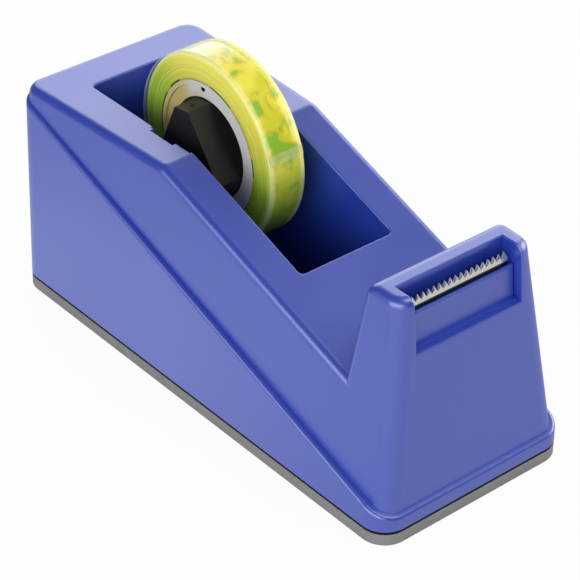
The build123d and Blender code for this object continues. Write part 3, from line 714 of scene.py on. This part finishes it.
shader = addNode(tree, "ShaderNodeBsdfPrincipled",
                 {"Roughness": tapeSet["roughness"], "Specular IOR Level": tapeSet["mirror"],
                  "Subsurface Weight": 1.0, "Subsurface Radius": tapeSet["depthRadius"],
                  "Subsurface Scale": tapeSet["depth"] * mm, "Coat Weight": tapeSet["gloss"],
                  "Coat Roughness": tapeSet["glossRoughness"]},
                 {"Base Color": hue, "Coat Normal": wrinkle.outputs[0]})
dress(tapeFilm, shader, winding)
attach(winding, "spool")
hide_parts("tape_winding")

# The last turns: clear film that has sprung a little off the roll at the back, see-through and milky at its
# cut edges
looseSet = {"bulges": (0.35, 0.80), "from": 127.0, "to": 268.0, "points": 34, "lift": 0.05, "thickness": 0.05,
            "margin": 0.06, "smooth": 40, "tint": "#fdfdf0", "clear": 0.05, "edge": 0.55, "edgeWidth": 0.2,
            "crease": 4.0, "relief": 0.2, "reliefDepth": 0.05, "roughness": 0.08, "index": 1.49}
near, far = rollNear + looseSet["margin"], rollFar - looseSet["margin"]
turns = []
for i, bulge in enumerate(looseSet["bulges"]):
    arc = []
    for k in range(looseSet["points"] + 1):
        part = k / looseSet["points"]
        a = math.radians(looseSet["from"] + (looseSet["to"] - looseSet["from"]) * part)
        reach = tapeSet["radius"] + looseSet["lift"] * (2 * i + 1) + bulge * math.sin(math.pi * part) ** 2
        arc.append(rollPoint(reach, a, near))
    turns.append(drawStrip("looseTurns", arc, (far - near) * mm, looseSet["thickness"] * mm))
deselectAll()
for turn in turns:
    turn.select_set(True)
loose = turns[0]
bpy.context.view_layer.objects.active = loose
bpy.ops.object.join()
smoothBy(loose, looseSet["smooth"])
clearFilm, tree, coords = newMaterial("clearPolypropyleneFilm")
along = addNode(tree, "ShaderNodeSeparateXYZ", None, {"Vector": coords}).outputs["Y"]
along = addNode(tree, "ShaderNodeMath", {"operation": "SUBTRACT", 1: (near + far) / 2 * mm},
                {0: along}).outputs[0]
fromMiddle = addNode(tree, "ShaderNodeMath", {"operation": "ABSOLUTE"}, {0: along}).outputs[0]
half = (far - near) / 2
veil = addNode(tree, "ShaderNodeMapRange",
               {**softStep, "From Min": (half - looseSet["edgeWidth"]) * mm, "From Max": half * mm,
                "To Min": looseSet["clear"], "To Max": looseSet["edge"]}, {"Value": fromMiddle}).outputs[0]
creases = addNode(tree, "ShaderNodeTexNoise", {"Scale": perMetre(looseSet["crease"])},
                  {"Vector": coords}).outputs[0]
relief = addNode(tree, "ShaderNodeBump",
                 {"Strength": looseSet["relief"], "Distance": looseSet["reliefDepth"] * mm},
                 {"Height": creases})
shader = addNode(tree, "ShaderNodeBsdfPrincipled",
                 {"Base Color": toLinear(looseSet["tint"]), "Roughness": looseSet["roughness"],
                  "IOR": looseSet["index"]}, {"Alpha": veil, "Normal": relief.outputs[0]})
dress(clearFilm, shader, loose)
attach(loose, "spool")

# The tape's end, folded back on itself to make a tab: two layers of film stuck together, pale and creased
tabSet = {"angle": 17.0, "length": 2.6, "lift": 0.14, "thickness": 0.12, "points": 9, "wave": 0.03,
          "waves": 2.5, "bevel": 0.03, "bevelSteps": 2, "bevelAngle": 50, "smooth": 45,
          "tint": "#fbf8c4", "shade": "#eeeb96", "streak": (2.0, 0.5, 2.0), "relief": 0.4,
          "reliefDepth": 0.06, "roughness": 0.18, "index": 1.49, "veil": 0.22}
tabRadius = tapeSet["radius"] + tabSet["lift"]
halfTurn = tabSet["length"] / 2 / tabRadius
arc = []
for i in range(tabSet["points"]):
    part = i / (tabSet["points"] - 1)
    a = math.radians(tabSet["angle"]) + halfTurn * (2 * part - 1)
    wave = tabSet["wave"] * math.sin(2 * math.pi * tabSet["waves"] * part)
    arc.append(rollPoint(tabRadius + wave, a, near))
tab = drawStrip("tapeEndTab", arc, (far - near) * mm, tabSet["thickness"] * mm)
applyModifier(tab, "BEVEL", width=tabSet["bevel"] * mm, segments=tabSet["bevelSteps"], limit_method="ANGLE",
              angle_limit=math.radians(tabSet["bevelAngle"]))
smoothBy(tab, tabSet["smooth"])
foldedFilm, tree, coords = newMaterial("foldedPolypropyleneFilm")
streaks = addNode(tree, "ShaderNodeMapping", {"Scale": [perMetre(size) for size in tabSet["streak"]]},
                  {"Vector": coords})
crease = addNode(tree, "ShaderNodeTexNoise", {"Scale": 1.0}, {"Vector": streaks.outputs[0]}).outputs[0]
tint = addNode(tree, "ShaderNodeMix",
               {**colourMix, 6: toLinear(tabSet["shade"]), 7: toLinear(tabSet["tint"])},
               {0: crease}).outputs[2]
relief = addNode(tree, "ShaderNodeBump",
                 {"Strength": tabSet["relief"], "Distance": tabSet["reliefDepth"] * mm}, {"Height": crease})
shader = addNode(tree, "ShaderNodeBsdfPrincipled",
                 {"Roughness": tabSet["roughness"], "IOR": tabSet["index"], "Alpha": tabSet["veil"]},
                 {"Base Color": tint, "Normal": relief.outputs[0]})
dress(foldedFilm, shader, tab)
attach(tab, "spool")
print("tape wound")
